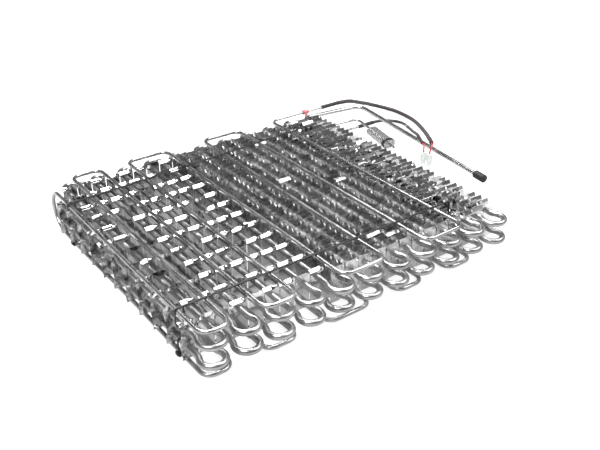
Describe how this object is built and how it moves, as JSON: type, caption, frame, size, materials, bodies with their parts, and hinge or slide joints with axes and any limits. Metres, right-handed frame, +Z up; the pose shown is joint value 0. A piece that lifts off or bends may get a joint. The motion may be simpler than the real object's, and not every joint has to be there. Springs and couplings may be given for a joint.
{
  "type": "finned evaporator coil",
  "caption": "Flat two-layer serpentine refrigerator evaporator with rows of plate fins and a sheathed defrost heater tied on above and below.",
  "frame": {"origin": "centre of the object's box in plan, without the loose leads, on the surface it rests on", "axes": "+X across the passes towards the pipes, +Y along the passes away from the near bends, +Z up"},
  "size_m": [0.8062, 0.5798, 0.0788],
  "materials": {
    "tube": "bright drawn",
    "fins": "bright rolled sheet",
    "heater": "bright drawn sheath",
    "tie": "black nylon",
    "rubber": "satin black",
    "sleeve": "soft black sleeve",
    "film": "crumpled clear film",
    "red_plastic": "soft red",
    "white_plastic": "moulded nylon"
  },
  "bodies": {
    "root": {"hairpins_upper": "tube", "far_bends_upper": "tube", "crossover_bend": "tube", "hairpins_lower": "tube", "far_bends_lower": "tube", "defrost_heater": "heater", "suction_pipe": "tube", "suction_cap": "rubber", "inlet_pipe": "tube", "fin_row_01": "fins", "fin_row_02": "fins", "fin_row_03": "fins", "fin_row_04": "fins", "fin_row_05": "fins", "fin_row_06": "fins", "fin_row_07": "fins", "fin_row_08": "fins", "fin_row_09": "fins", "fin_row_10": "fins", "fin_row_11": "fins", "fin_row_12": "fins", "fin_row_13": "fins", "fin_row_14": "fins", "fin_row_15": "fins", "fin_row_16": "fins", "fin_row_17": "fins", "fin_row_18": "fins", "fin_row_19": "fins", "fin_row_20": "fins", "fin_row_21": "fins", "fin_row_22": "fins", "tie_top_near": "tie", "tie_top_far": "tie", "tie_bottom_near": "tie", "tie_bottom_far": "tie", "thermostat_cover": "film", "thermostat_band": "tie", "heater_clip": "red_plastic", "seal_top": "rubber", "seal_bottom": "rubber", "lead_top": "sleeve", "lead_bottom": "sleeve", "lead_band": "film", "wire_top": "red_plastic", "wire_bottom": "red_plastic", "connector_top": "white_plastic", "connector_bottom": "white_plastic"}
  },
  "joints": []
}
